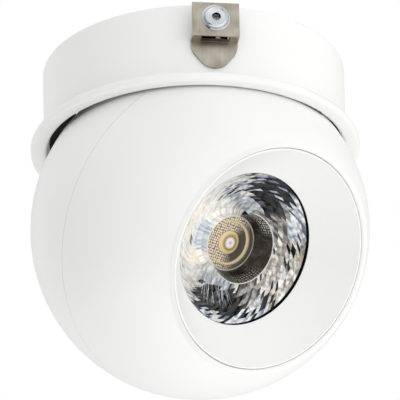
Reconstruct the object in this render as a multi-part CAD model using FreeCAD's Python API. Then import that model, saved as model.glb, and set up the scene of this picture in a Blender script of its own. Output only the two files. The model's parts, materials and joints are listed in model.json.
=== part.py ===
import FreeCAD, Part
import math
import os

os.makedirs("parts", exist_ok=True)

# Recessed ball spotlight. Lengths are in millimetres and angles in degrees.
# The origin lies on the pan axis, in the ceiling plane that the flange closes against. +Z points up.
# The lens looks towards -Y, tilted from straight down by rest_tilt, which is the pose that is drawn.
# Pieces of the ball are drawn in a lens frame: origin at the ball's centre, +Z out through the lens.

# Ball
ball_diameter = 82.0
shell_wall = 2.0
seam_forward = 1.9
seam_gap = 0.15
seam_lip_length = 2.0
seam_lip_thickness = 1.3
pivot_setback = 1.3
rest_tilt = 55.6
most_tilt = 58.0

# Clearances
turning_face_gap = 0.05
running_gap = 0.06
thread_gap = 0.03
hole_gap = 0.15
ball_gap = 0.3
lip_gap = 0.08
cut_overrun = 3.0

# Collar and flange
collar_inset = 4.25
collar_wall = 1.35
collar_height = 19.3
collar_rim_round = 0.3
flange_overhang = 3.25
flange_thickness = 2.2
flange_round = 0.8
lip_flare = 0.9
lip_flare_rise = 0.3
lip_round = 1.0

# Bridge across the collar
bridge_azimuth = 60.0
bridge_width = 20.0
bridge_thickness = 1.5
bridge_disc_diameter = 34.0
bridge_slope_run = 6.0
foot_inner_length = 5.0
foot_outer_length = 2.5
foot_drop = 4.3
boss_inset = 5.4
boss_diameter = 8.0
boss_length = 4.5

# Spring clips, spacers and rivets
clip_azimuths = (-34.2, 145.8)
clip_sheet = 0.8
clip_width = 11.3
clip_plate_height = 8.8
clip_plate_drop = 1.5
clip_standoff = 3.3
clip_bend = 0.5
clip_tip_height = 2.15
clip_tip_round = 4.0
clip_taper_angle = 38.7
clip_shoulder_round = 5.0
clip_slot_width = 6.9
clip_slot_land = 0.1
rivet_drop = 4.1
rivet_head_diameter = 6.8
rivet_head_thickness = 1.2
rivet_head_round = 0.7
rivet_shank_diameter = 3.2
rivet_hole_diameter = 2.0
rivet_tail_diameter = 4.8
rivet_tail_length = 1.6
spacer_diameter = 5.2

# Yoke
yoke_shell_gap = 1.3
yoke_band = 4.4
yoke_thickness = 2.4
yoke_neck_width = 16.0
yoke_window_width = 7.2
yoke_window_height = 4.0
yoke_flange_thickness = 2.2
yoke_boss_diameter = 9.0
yoke_boss_length = 4.95
slot_side_gap = 0.75
slot_end_gap = 0.6

# Pan stop
stop_radius = 14.0
stop_pin_diameter = 3.0
stop_pin_head_diameter = 4.8
stop_pin_head_thickness = 0.8
stop_pin_drop = 2.0
stop_finger_width = 4.0
stop_finger_overlap = 2.0

# Pan bearing
nipple_diameter = 10.0
nipple_bore_diameter = 6.4
nipple_reach = 1.5
friction_washer_diameter = 20.0
friction_washer_thickness = 0.5
spring_washer_diameter = 18.0
spring_washer_thickness = 0.6
nut_across_flats = 14.0
nut_thickness = 3.0
bush_bore_diameter = 5.2
bush_flange_diameter = 9.0
bush_flange_thickness = 0.9
bush_length = 8.0

# Tilt pivots
pivot_shoulder_diameter = 5.0
pivot_thread_diameter = 4.0
pivot_thread_length = 7.5
pivot_head_diameter = 8.0
pivot_head_thickness = 1.2
pivot_driver_width = 3.0
pivot_driver_depth = 0.7
pivot_washer_diameter = 9.0
pivot_washer_thickness = 0.5
pivot_spring_diameter = 8.0
pivot_spring_thickness = 0.4

# Screws
screw_diameter = 3.0
screw_head_diameter = 5.5
screw_head_thickness = 2.0
screw_recess_diameter = 2.4
screw_recess_depth = 1.1
bridge_screw_grip = 4.0
sink_screw_grip = 7.0
shell_screw_grip = 9.0
holder_screw_head_diameter = 4.4
holder_screw_head_thickness = 1.3
holder_screw_grip = 2.4
holder_screw_inset = 2.5

# Heat sink
sink_front = 3.3
sink_base_thickness = 3.0
sink_base_gap = 3.0
sink_ear_inset = 7.0
sink_ear_diameter = 7.2
sink_ear_azimuths = (90.0, 210.0, 330.0)
sink_arm_width = 10.0
sink_boss_length = 11.0
sink_boss_cover = 0.4
sink_fin_thickness = 1.6
sink_fin_pitch = 5.0
sink_fin_depth = 17.0
sink_fin_border = 4.0
sink_sweep_gap = 1.6
lead_hole_diameter = 5.0
lead_hole_offset = 17.5

# Shell posts
front_post_diameter = 7.0
rear_post_diameter = 6.5
rear_post_side = 14.0
rear_post_inset = 8.0
rear_post_seat = 0.5
post_hole_spare = 1.5

# Light source
pad_thickness = 0.5
board_diameter = 30.0
board_thickness = 1.6
emitter_diameter = 11.0
emitter_thickness = 0.8
holder_bore_gap = 3.5
holder_thickness = 1.8

# Lens and its holder
lens_view_radius = 18.75
lens_face = 18.6
lens_flange_width = 1.55
lens_flange_thickness = 1.5
lens_cone_inset = 1.1
lens_cone_bulge = 0.9
lens_foot_gap = 1.6
lens_foot_rise = 0.4
lens_foot_width = 1.2
lens_cavity_depth = 2.6
lens_cavity_dome = 0.8
well_mouth_radius = 8.7
well_floor_radius = 7.4
well_depth = 6.5
well_edge_round = 0.35
well_ring_radius = 5.5
well_step_depth = 0.5
well_dome_radius = 3.0
well_dome_rise = 0.9
lens_holder_wall = 1.8
lens_holder_shoulder = 0.7

# Front bezel
bezel_radius = 27.05
bezel_rim_below_ball = 1.5
bezel_rim_width = 0.4
bezel_rim_round = 0.15
bezel_wall = 1.5
bezel_hollow = 0.45
bezel_inner_edge = 0.55
bezel_seat_depth = 2.75
bezel_seat_width = 0.9
bezel_ledge_thickness = 1.4
opening_round = 0.7

# Values worked out from the ones above
ball_radius = ball_diameter / 2
shell_inner_radius = ball_radius - shell_wall
collar_diameter = ball_diameter - 2 * collar_inset
collar_radius = collar_diameter / 2
collar_bore_radius = collar_radius - collar_wall
flange_diameter = collar_diameter + 2 * flange_overhang
flange_radius = flange_diameter / 2
lip_across = collar_bore_radius + lip_flare - pivot_setback * math.sin(math.radians(most_tilt))
lip_down = math.sqrt((ball_radius + lip_gap) ** 2 - lip_across ** 2)
pivot_drop = lip_down + flange_thickness - pivot_setback * math.cos(math.radians(most_tilt))
boss_reach = collar_bore_radius - boss_inset
foot_start_reach = boss_reach - foot_inner_length
foot_end_reach = boss_reach + foot_outer_length
bridge_flat_reach = foot_start_reach - bridge_slope_run
foot_height = collar_height - foot_drop
opening_radius = bezel_radius + hole_gap
opening_edge = math.sqrt(ball_radius ** 2 - opening_radius ** 2)
bezel_rim = opening_edge - bezel_rim_below_ball
bezel_seat = bezel_rim - bezel_seat_depth
lens_flange_radius = lens_view_radius + lens_flange_width
lens_holder_bore = lens_flange_radius - lens_holder_shoulder
lens_holder_radius = lens_flange_radius + hole_gap + lens_holder_wall / 2
yoke_outer_radius = shell_inner_radius - pivot_setback - yoke_shell_gap
yoke_inner_radius = yoke_outer_radius - yoke_band
yoke_boss_inner = yoke_outer_radius - yoke_boss_length
sink_base_radius = yoke_inner_radius - sink_base_gap
sink_ear_radius = shell_inner_radius - sink_ear_inset
sink_fin_field_radius = sink_base_radius - sink_fin_border
rear_post_back = sink_base_radius - rear_post_inset
sink_base_back = sink_front - sink_base_thickness
sink_boss_radius = sink_front + pivot_setback - sink_boss_cover
rear_post_front = sink_base_back + rear_post_seat
pad_front = sink_front + pad_thickness
board_front = pad_front + board_thickness
emitter_front = board_front + emitter_thickness
holder_front = board_front + holder_thickness
holder_screw_radius = board_diameter / 2 - holder_screw_inset
holder_bore_radius = holder_screw_radius - holder_bore_gap
lens_foot_radius = holder_bore_radius - lens_foot_gap
lens_foot = emitter_front + lens_foot_rise
pivot_height = -pivot_drop
sink_boss_end = yoke_boss_inner - turning_face_gap - pivot_washer_thickness
pivot_spring_start = yoke_outer_radius + turning_face_gap
pivot_head_start = pivot_spring_start + pivot_spring_thickness
ball_top = pivot_height - pivot_setback * math.cos(math.radians(most_tilt)) + ball_radius
yoke_flange_low = ball_top + 2 * ball_gap
yoke_flange_top = yoke_flange_low + yoke_flange_thickness
friction_washer_top = yoke_flange_top + friction_washer_thickness
bridge_low = friction_washer_top + turning_face_gap
bridge_top = bridge_low + bridge_thickness
spring_washer_low = bridge_top + turning_face_gap
nut_low = spring_washer_low + spring_washer_thickness
nut_top = nut_low + nut_thickness
nipple_top = nut_top + nipple_reach
clip_inner_radius = collar_radius + turning_face_gap
clip_plate_inner = collar_radius + clip_standoff
clip_plate_outer = clip_plate_inner + clip_sheet
clip_plate_top = collar_height - clip_plate_drop
clip_plate_low = clip_plate_top - clip_plate_height
rivet_height = clip_plate_top - rivet_drop


def vector(x, y, z):
    return FreeCAD.Vector(x, y, z)


X_AXIS = vector(1, 0, 0)
Y_AXIS = vector(0, 1, 0)
Z_AXIS = vector(0, 0, 1)
ORIGIN = vector(0, 0, 0)


def outline_edges(corners, plane_point):
    """Edges of a closed outline. A corner is (a, b, rounding, bulge): rounding is the radius of an arc
    at the corner, and bulge is how far the side that follows it stands out to the left at its middle."""
    edges = []
    count = len(corners)
    trims = []
    for index in range(count):
        here = corners[index]
        before = corners[index - 1]
        after = corners[(index + 1) % count]
        point = vector(here[0], here[1], 0)
        back = (vector(before[0], before[1], 0) - point).normalize()
        ahead = (vector(after[0], after[1], 0) - point).normalize()
        rounding = here[2] if len(here) > 2 else 0
        if rounding == 0:
            trims.append((point, None, point))
            continue
        half = back.getAngle(ahead) / 2
        reach = rounding / math.tan(half)
        middle = (back + ahead).normalize() * (rounding / math.sin(half) - rounding)
        trims.append((point + back * reach, point + middle, point + ahead * reach))
    for index in range(count):
        start, through, end = trims[index]
        if through is not None:
            edges.append(Part.Arc(plane_point(start), plane_point(through), plane_point(end)).toShape())
        nearest = trims[(index + 1) % count][0]
        corner = corners[index]
        bulge = corner[3] if len(corner) > 3 else 0
        if bulge == 0:
            edges.append(Part.LineSegment(plane_point(end), plane_point(nearest)).toShape())
            continue
        run = (nearest - end).normalize()
        middle = (end + nearest) * 0.5 + vector(-run.y, run.x, 0) * bulge
        edges.append(Part.Arc(plane_point(end), plane_point(middle), plane_point(nearest)).toShape())
    return edges


def outline_face(corners, plane_point):
    return Part.Face(Part.Wire(outline_edges(corners, plane_point)))


def turned(corners):
    """A solid turned about Z from an outline of (radius, height) corners."""
    face = outline_face(corners, lambda point: vector(point.x, 0, point.y))
    return face.revolve(ORIGIN, Z_AXIS, 360)


def cap_bulge(radius, rise):
    """The bulge of a side from the axis out to radius that makes a cap of a sphere of this rise."""
    chord_square = radius ** 2 + rise ** 2
    cap_sphere = chord_square / (2 * rise)
    return cap_sphere - math.sqrt(cap_sphere ** 2 - chord_square / 4)


def side_plate(corners, half_width):
    """A plate across X from an outline of (y, z) corners."""
    face = outline_face(corners, lambda point: vector(-half_width, point.x, point.y))
    return face.extrude(X_AXIS * (2 * half_width))


def disc(radius, low, high, x=0, y=0):
    return Part.makeCylinder(radius, high - low, vector(x, y, low))


def ring(radius, bore_radius, low, high, x=0, y=0):
    through = cut_overrun
    return disc(radius, low, high, x, y).cut(disc(bore_radius, low - through, high + through, x, y))


def rod_x(radius, start, end, height=0):
    direction = X_AXIS if end > start else -X_AXIS
    return Part.makeCylinder(radius, abs(end - start), vector(start, 0, height), direction)


def rod_out(radius, near, far, height):
    """A rod that points away from the Z axis towards -Y."""
    return Part.makeCylinder(radius, far - near, vector(0, -near, height), -Y_AXIS)


def block(half_x, y_low, y_high, z_low, z_high):
    return Part.makeBox(2 * half_x, y_high - y_low, z_high - z_low, vector(-half_x, y_low, z_low))


def turn(shape, azimuth):
    copy = shape.copy()
    copy.rotate(ORIGIN, Z_AXIS, azimuth)
    return copy


def polar(radius, azimuth):
    angle = math.radians(azimuth)
    return radius * math.cos(angle), radius * math.sin(angle)


def sphere(radius, height=0):
    return Part.makeSphere(radius, vector(0, 0, height))


def aim(shape):
    """Moves a shape from the lens frame to its place at rest: onto the pivot and tilted about it."""
    copy = shape.copy()
    copy.translate(vector(0, 0, pivot_setback))
    copy.rotate(ORIGIN, X_AXIS, 180 - rest_tilt)
    copy.translate(vector(0, 0, pivot_height))
    return copy


def pan_screw(grip, head_radius, head_thickness):
    """A cross-recessed screw whose head stands on z = 0 and whose shank points down."""
    shank = disc(screw_diameter / 2, -grip, 0)
    head = turned([
        (0, 0),
        (head_radius, 0),
        (head_radius, head_thickness, head_thickness / 2),
        (0, head_thickness),
    ])
    recess = turned([
        (0, head_thickness - screw_recess_depth),
        (screw_recess_diameter / 2, head_thickness),
        (screw_recess_diameter / 2, head_thickness + cut_overrun),
        (0, head_thickness + cut_overrun),
    ])
    return head.fuse(shank).cut(recess).removeSplitter()


def placed_screw(screw, x, y, z, flipped=False):
    copy = screw.copy()
    if flipped:
        copy.rotate(ORIGIN, X_AXIS, 180)
    copy.translate(vector(x, y, z))
    return copy


def collar_ring():
    """The cast ring in the ceiling: a tube, the visible flange and two inside bosses for the bridge."""
    body = turned([
        (collar_bore_radius, lip_flare_rise),
        (collar_bore_radius + lip_flare, -flange_thickness, lip_round),
        (flange_radius, -flange_thickness, flange_round),
        (flange_radius, 0, flange_round),
        (collar_radius, 0),
        (collar_radius, collar_height, collar_rim_round),
        (collar_bore_radius, collar_height, collar_rim_round),
    ])
    boss_low = foot_height - boss_length
    for side in (0, 180):
        boss = disc(boss_diameter / 2, boss_low, foot_height, y=-boss_reach)
        web = block(boss_diameter / 2, -collar_radius, -boss_reach, boss_low, foot_height)
        web = web.common(disc(collar_radius - collar_wall / 2, boss_low, foot_height))
        pilot = disc(screw_diameter / 2 + thread_gap, boss_low - cut_overrun, foot_height + cut_overrun,
                     y=-boss_reach)
        body = body.fuse(turn(boss.fuse(web), bridge_azimuth + side))
        body = body.cut(turn(pilot, bridge_azimuth + side))
    for azimuth in clip_azimuths:
        hole = rod_out(rivet_shank_diameter / 2 + thread_gap, collar_bore_radius - cut_overrun,
                       collar_radius + cut_overrun, rivet_height)
        body = body.cut(turn(hole, azimuth))
    return body.removeSplitter()


def bridge_plate():
    """A pressed steel strip across the collar, raised over the ball, that carries the pan bearing."""
    foot_top = foot_height + bridge_thickness
    upper = [
        (-foot_end_reach, foot_top),
        (-foot_start_reach, foot_top),
        (-bridge_flat_reach, bridge_top),
        (bridge_flat_reach, bridge_top),
        (foot_start_reach, foot_top),
        (foot_end_reach, foot_top),
    ]
    slope_run = foot_start_reach - bridge_flat_reach
    slope = math.atan2(bridge_low - foot_height, slope_run)
    shift = bridge_thickness * math.tan(slope / 2)
    lower = [
        (foot_end_reach, foot_height),
        (foot_start_reach - shift, foot_height),
        (bridge_flat_reach - shift, bridge_low),
        (-bridge_flat_reach + shift, bridge_low),
        (-foot_start_reach + shift, foot_height),
        (-foot_end_reach, foot_height),
    ]
    strip = side_plate(upper + lower, bridge_width / 2)
    plate = strip.fuse(disc(bridge_disc_diameter / 2, bridge_low, bridge_top))
    plate = plate.cut(disc(nipple_diameter / 2 + running_gap, bridge_low - cut_overrun,
                           bridge_top + cut_overrun))
    for side in (-1, 1):
        plate = plate.cut(disc(screw_diameter / 2 + hole_gap, foot_height - cut_overrun,
                               foot_top + cut_overrun, y=side * boss_reach))
    plate = turn(plate, bridge_azimuth)
    pin_hole = disc(stop_pin_diameter / 2 + thread_gap, bridge_low - cut_overrun,
                    bridge_top + cut_overrun, y=-stop_radius)
    return plate.cut(pin_hole).removeSplitter()


def bridge_screws():
    screw = pan_screw(bridge_screw_grip + bridge_thickness, screw_head_diameter / 2, screw_head_thickness)
    screws = []
    for side in (0, 180):
        placed = placed_screw(screw, 0, -boss_reach, foot_height + bridge_thickness)
        screws.append(turn(placed, bridge_azimuth + side))
    return Part.makeCompound(screws)


def stop_pin():
    """A pin riveted in the bridge that the yoke's finger meets at each end of the pan travel."""
    shank = disc(stop_pin_diameter / 2, bridge_low - stop_pin_drop, bridge_top, y=-stop_radius)
    head = disc(stop_pin_head_diameter / 2, bridge_top, bridge_top + stop_pin_head_thickness,
                y=-stop_radius)
    return shank.fuse(head).removeSplitter()


def spring_clip():
    """A bent stainless strip: a plate that stands off the collar, a slotted step back to the wall and
    a rounded tongue that lies along it. Drawn towards -Y."""
    half = clip_width / 2
    low = clip_plate_low
    bracket = side_plate([
        (-clip_plate_outer, clip_plate_top),
        (-clip_plate_outer, low, clip_bend),
        (-collar_bore_radius, low),
        (-collar_bore_radius, low + clip_sheet),
        (-clip_plate_inner, low + clip_sheet, clip_bend / 4),
        (-clip_plate_inner, clip_plate_top),
    ], half)
    bracket = bracket.cut(disc(clip_inner_radius, 0, collar_height + cut_overrun))
    slot = block(clip_slot_width / 2, -(clip_plate_outer - clip_bend),
                 -(clip_inner_radius + clip_sheet + clip_slot_land), low - clip_sheet, low + 2 * clip_sheet)
    tongue_shell = ring(clip_inner_radius + clip_sheet, clip_inner_radius,
                        clip_tip_height, low + clip_sheet)
    taper = math.radians(clip_taper_angle)
    apex = clip_tip_height - clip_tip_round * (1 / math.sin(taper) - 1)
    shoulder = apex + half / math.tan(taper)
    front_view = [
        (-half, low + clip_sheet),
        (-half, shoulder, clip_shoulder_round),
        (0, apex, clip_tip_round),
        (half, shoulder, clip_shoulder_round),
        (half, low + clip_sheet),
    ]
    face = outline_face(front_view, lambda point: vector(point.x, -clip_plate_outer, point.y))
    tongue = tongue_shell.common(face.extrude(Y_AXIS * (clip_plate_outer - collar_radius / 2)))
    hole = rod_out(rivet_shank_diameter / 2 + thread_gap, clip_plate_inner - clip_sheet,
                   clip_plate_outer + clip_sheet, rivet_height)
    return bracket.cut(slot).fuse(tongue).cut(hole).removeSplitter()


def clip_spacer():
    tube = rod_out(spacer_diameter / 2, collar_radius, clip_plate_inner, rivet_height)
    bore = rod_out(rivet_shank_diameter / 2 + thread_gap, collar_radius - cut_overrun,
                   clip_plate_inner + cut_overrun, rivet_height)
    return tube.cut(bore)


def clip_rivet():
    """A blind rivet: a domed head on the clip, a drilled shank and a swaged tail inside the collar."""
    head_radius = rivet_head_diameter / 2
    tail_end = -rivet_tail_length
    tail_seat = math.sqrt(collar_bore_radius ** 2 - (rivet_tail_diameter / 2) ** 2)
    wall_outside = clip_plate_outer - tail_seat
    body = turned([
        (0, tail_end),
        (rivet_tail_diameter / 2, tail_end, rivet_tail_length / 3),
        (rivet_tail_diameter / 2, 0),
        (rivet_shank_diameter / 2, 0),
        (rivet_shank_diameter / 2, wall_outside),
        (head_radius, wall_outside),
        (head_radius, wall_outside + rivet_head_thickness, rivet_head_round),
        (0, wall_outside + rivet_head_thickness),
    ])
    body = body.cut(disc(rivet_hole_diameter / 2, 0, wall_outside + rivet_head_thickness + cut_overrun))
    body.rotate(ORIGIN, X_AXIS, 90)
    body.translate(vector(0, -tail_seat, rivet_height))
    return body


def at_both_clips(shape):
    return Part.makeCompound([turn(shape, azimuth) for azimuth in clip_azimuths])


def yoke():
    """The cast arm that turns with the pan: a flange above the ball, a flat neck that passes the
    slot in the rear shell, and a half ring inside the ball that ends in two pivot bosses."""
    half = yoke_thickness / 2
    centre = vector(0, -half, pivot_height)
    arm = Part.makeCylinder(yoke_outer_radius, yoke_thickness, centre, Y_AXIS)
    arm = arm.cut(Part.makeCylinder(yoke_inner_radius, yoke_thickness, centre, Y_AXIS))
    arm = arm.common(block(yoke_outer_radius, -half, half, pivot_height, pivot_height + yoke_outer_radius))
    ring_top = pivot_height + yoke_outer_radius
    neck = block(yoke_neck_width / 2, -half, half, ring_top - yoke_band / 2, yoke_flange_low)
    window = block(yoke_window_width / 2, -yoke_thickness, yoke_thickness,
                   yoke_flange_low - yoke_window_height, yoke_flange_low)
    flange = block(yoke_neck_width / 2, -yoke_neck_width / 2, yoke_neck_width / 2,
                   yoke_flange_low, yoke_flange_top)
    finger = block(stop_finger_width / 2, 0, stop_radius + stop_finger_overlap,
                   yoke_flange_low, yoke_flange_top)
    body = arm.fuse(neck).cut(window).fuse(flange).fuse(finger)
    for side in (-1, 1):
        boss = rod_x(yoke_boss_diameter / 2, side * yoke_boss_inner, side * yoke_outer_radius, pivot_height)
        bore = rod_x(pivot_shoulder_diameter / 2 + running_gap, side * (yoke_boss_inner - cut_overrun),
                     side * (yoke_outer_radius + cut_overrun), pivot_height)
        body = body.fuse(boss).cut(bore)
    body = body.cut(disc(nipple_diameter / 2 + thread_gap, yoke_flange_low, yoke_flange_top + cut_overrun))
    return body.removeSplitter()


def hollow_nipple():
    return ring(nipple_diameter / 2, nipple_bore_diameter / 2, yoke_flange_low, nipple_top)


def pan_friction_washer():
    return ring(friction_washer_diameter / 2, nipple_diameter / 2 + thread_gap,
                yoke_flange_top, friction_washer_top)


def pan_spring_washer():
    return ring(spring_washer_diameter / 2, nipple_diameter / 2 + thread_gap, spring_washer_low, nut_low)


def pan_nut():
    corner = nut_across_flats / 2 / math.cos(math.radians(30))
    points = []
    for step in range(7):
        x, y = polar(corner, 60 * step)
        points.append(vector(x, y, nut_low))
    hexagon = Part.Face(Part.makePolygon(points)).extrude(Z_AXIS * nut_thickness)
    return hexagon.cut(disc(nipple_diameter / 2 + thread_gap, nut_low - cut_overrun, nut_top + cut_overrun))


def cable_bush():
    """A plastic sleeve in the nipple's mouth that keeps the edge off the supply lead."""
    sleeve = disc(nipple_bore_diameter / 2 - thread_gap, nipple_top - bush_length, nipple_top)
    flange = disc(bush_flange_diameter / 2, nipple_top, nipple_top + bush_flange_thickness)
    bore = disc(bush_bore_diameter / 2, nipple_top - bush_length - cut_overrun,
                nipple_top + bush_flange_thickness + cut_overrun)
    return sleeve.fuse(flange).cut(bore).removeSplitter()


def front_posts():
    posts = []
    for azimuth in sink_ear_azimuths:
        x, y = polar(sink_ear_radius, azimuth)
        posts.append(disc(front_post_diameter / 2, sink_front, ball_radius, x, y))
    return posts


def front_shell():
    """The front half of the ball with the bezel's opening and ledge, the seam's rabbet and three posts."""
    body = sphere(ball_radius).cut(sphere(shell_inner_radius))
    body = body.cut(disc(ball_radius + cut_overrun, -ball_radius - cut_overrun, seam_forward))
    body = body.cut(disc(opening_radius, 0, ball_radius + cut_overrun))
    mouth_edges = [edge for edge in body.Edges if edge.BoundBox.ZMin > opening_edge - opening_round]
    body = body.makeFillet(opening_round, mouth_edges)
    rabbet_radius = ball_radius - shell_wall / 2
    body = body.cut(disc(rabbet_radius, seam_forward - cut_overrun, seam_forward + seam_lip_length))
    ledge_bore = bezel_radius - bezel_seat_width
    ledge = ring(ball_radius, ledge_bore, bezel_seat - bezel_ledge_thickness, bezel_seat)
    inside = sphere(ball_radius - shell_wall / 2)
    body = body.fuse(ledge.common(inside))
    for post in front_posts():
        body = body.fuse(post.common(inside))
    body = body.cut(disc(opening_radius, bezel_seat, ball_radius + cut_overrun))
    body = body.cut(disc(ledge_bore, bezel_seat - bezel_ledge_thickness, ball_radius + cut_overrun))
    for azimuth in sink_ear_azimuths:
        x, y = polar(sink_ear_radius, azimuth)
        depth = sink_screw_grip + post_hole_spare
        body = body.cut(disc(screw_diameter / 2 + thread_gap, sink_front - cut_overrun,
                             sink_front + depth, x, y))
    return aim(body.removeSplitter())


def slot_cutter():
    """The space that the yoke's neck sweeps through the rear shell, in the lens frame."""
    half_width = yoke_neck_width / 2 + slot_side_gap
    half_depth = yoke_thickness / 2 + slot_end_gap
    far = 2 * ball_radius
    angle = math.radians(most_tilt)
    wedge = side_plate([
        (0, 0),
        (0, -far),
        (far * math.tan(angle / 2), -far),
        (far * math.sin(angle), -far * math.cos(angle)),
    ], half_width)
    straight = block(half_width, -half_depth, half_depth, -far, 0)
    tilted = straight.copy()
    tilted.rotate(ORIGIN, X_AXIS, most_tilt)
    cutter = wedge.fuse(straight).fuse(tilted)
    cutter.translate(vector(0, 0, -pivot_setback))
    return cutter


def rear_shell():
    """The rear half of the ball with the neck's slot, the seam's lip and two inside posts."""
    seam_back = seam_forward - seam_gap
    body = sphere(ball_radius).cut(sphere(shell_inner_radius))
    body = body.cut(disc(ball_radius + cut_overrun, seam_back, ball_radius + cut_overrun))
    lip_radius = ball_radius - shell_wall / 2 - turning_face_gap
    lip = ring(lip_radius, lip_radius - seam_lip_thickness, seam_back - seam_lip_length,
               seam_forward + seam_lip_length)
    body = body.fuse(lip).cut(slot_cutter())
    inside = sphere(ball_radius - shell_wall / 2)
    for side in (-1, 1):
        x = side * rear_post_side
        post = disc(rear_post_diameter / 2, -ball_radius, rear_post_front, x, -rear_post_back)
        hole_back = sink_base_back - shell_screw_grip - post_hole_spare
        hole = disc(screw_diameter / 2 + thread_gap, hole_back, rear_post_front + cut_overrun,
                    x, -rear_post_back)
        body = body.fuse(post.common(inside)).cut(hole)
    return aim(body.removeSplitter())


def heat_sink():
    """The cast core of the ball: a round base with three ears, two pivot bosses and parallel fins."""
    body = disc(sink_base_radius, sink_base_back, sink_front)
    arm_reach = sink_boss_end
    body = body.fuse(block(arm_reach, -sink_arm_width / 2, sink_arm_width / 2, sink_base_back, sink_front))
    for azimuth in sink_ear_azimuths:
        x, y = polar(sink_ear_radius, azimuth)
        body = body.fuse(disc(sink_ear_diameter / 2, sink_base_back, sink_front, x, y))
    fin_count = int(sink_fin_field_radius / sink_fin_pitch)
    sweep = sphere(yoke_inner_radius - sink_sweep_gap, -pivot_setback)
    field = disc(sink_fin_field_radius, -sink_fin_depth, sink_base_back).common(sweep)
    for step in range(-fin_count, fin_count + 1):
        fin = block(sink_fin_thickness / 2, -ball_radius, ball_radius, -sink_fin_depth, sink_base_back)
        fin.translate(vector(step * sink_fin_pitch, 0, 0))
        body = body.fuse(fin.common(field))
    for side in (-1, 1):
        boss = rod_x(sink_boss_radius, side * (sink_boss_end - sink_boss_length),
                     side * sink_boss_end, -pivot_setback)
        thread = rod_x(pivot_thread_diameter / 2 + thread_gap,
                       side * (sink_boss_end - pivot_thread_length - post_hole_spare),
                       side * (sink_boss_end + cut_overrun), -pivot_setback)
        post_room = disc(rear_post_diameter / 2 + slot_side_gap, -ball_radius, rear_post_front,
                         side * rear_post_side, -rear_post_back)
        screw_hole = disc(screw_diameter / 2 + hole_gap, sink_base_back - cut_overrun,
                          sink_front + cut_overrun, side * rear_post_side, -rear_post_back)
        holder_hole = disc(screw_diameter / 2 + thread_gap, sink_base_back - cut_overrun,
                           sink_front + cut_overrun, side * holder_screw_radius)
        body = body.fuse(boss).cut(thread).cut(post_room).cut(screw_hole).cut(holder_hole)
    for azimuth in sink_ear_azimuths:
        x, y = polar(sink_ear_radius, azimuth)
        body = body.cut(disc(screw_diameter / 2 + hole_gap, sink_base_back - cut_overrun,
                             sink_front + cut_overrun, x, y))
    body = body.cut(disc(lead_hole_diameter / 2, -sink_fin_depth - cut_overrun,
                         sink_front + cut_overrun, y=lead_hole_offset))
    return aim(body.removeSplitter())


def sink_screws():
    screw = pan_screw(sink_base_thickness + sink_screw_grip, screw_head_diameter / 2, screw_head_thickness)
    screws = []
    for azimuth in sink_ear_azimuths:
        x, y = polar(sink_ear_radius, azimuth)
        screws.append(aim(placed_screw(screw, x, y, sink_base_back, flipped=True)))
    return Part.makeCompound(screws)


def rear_shell_screws():
    screw = pan_screw(sink_base_thickness + shell_screw_grip, screw_head_diameter / 2, screw_head_thickness)
    screws = []
    for side in (-1, 1):
        screws.append(aim(placed_screw(screw, side * rear_post_side, -rear_post_back, sink_front)))
    return Part.makeCompound(screws)


def pivot_screw():
    """A shoulder screw on +X: the yoke turns on its shoulder and its thread is in the heat sink."""
    shoulder = rod_x(pivot_shoulder_diameter / 2, sink_boss_end, pivot_head_start)
    thread = rod_x(pivot_thread_diameter / 2, sink_boss_end - pivot_thread_length, sink_boss_end)
    head_end = pivot_head_start + pivot_head_thickness
    head = rod_x(pivot_head_diameter / 2, pivot_head_start, head_end)
    socket = rod_x(pivot_driver_width / 2, head_end - pivot_driver_depth, head_end + cut_overrun)
    return shoulder.fuse(thread).fuse(head).cut(socket).removeSplitter()


def pivot_ring(radius, start, thickness):
    return rod_x(radius, start, start + thickness).cut(
        rod_x(pivot_shoulder_diameter / 2 + running_gap, start - cut_overrun,
              start + thickness + cut_overrun))


def at_both_pivots(shape):
    pieces = []
    for azimuth in (0, 180):
        piece = turn(shape, azimuth)
        piece.translate(vector(0, 0, -pivot_setback))
        pieces.append(aim(piece))
    return Part.makeCompound(pieces)


def thermal_pad():
    body = disc(board_diameter / 2, sink_front, pad_front)
    return aim(body.cut(holder_screw_holes()))


def holder_screw_holes():
    holes = []
    for side in (-1, 1):
        holes.append(disc(screw_diameter / 2 + hole_gap, sink_front - cut_overrun,
                          holder_front + cut_overrun, side * holder_screw_radius))
    return holes[0].fuse(holes[1])


def led_board():
    return aim(disc(board_diameter / 2, pad_front, board_front).cut(holder_screw_holes()))


def led_emitter():
    return aim(disc(emitter_diameter / 2, board_front, emitter_front))


def led_holder():
    """The moulded ring that clamps the board, with a sunk seat for each screw head."""
    body = ring(board_diameter / 2, holder_bore_radius, board_front, holder_front)
    body = body.cut(holder_screw_holes())
    for side in (-1, 1):
        body = body.cut(disc(holder_screw_head_diameter / 2 + hole_gap,
                             holder_front - holder_screw_head_thickness, holder_front + cut_overrun,
                             side * holder_screw_radius))
    return aim(body)


def holder_screws():
    seat = holder_front - holder_screw_head_thickness
    grip = seat - sink_front + holder_screw_grip
    screw = pan_screw(grip, holder_screw_head_diameter / 2, holder_screw_head_thickness)
    screws = []
    for side in (-1, 1):
        screws.append(aim(placed_screw(screw, side * holder_screw_radius, 0, seat)))
    return Part.makeCompound(screws)


def lens_holder():
    """A tube that stands on the heat sink and carries the lens by its flange."""
    flange_low = lens_face - lens_flange_thickness
    return aim(turned([
        (lens_holder_bore, sink_front),
        (lens_holder_radius, sink_front),
        (lens_holder_radius, lens_face),
        (lens_flange_radius + hole_gap, lens_face),
        (lens_flange_radius + hole_gap, flange_low),
        (lens_holder_bore, flange_low),
    ]))


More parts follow.
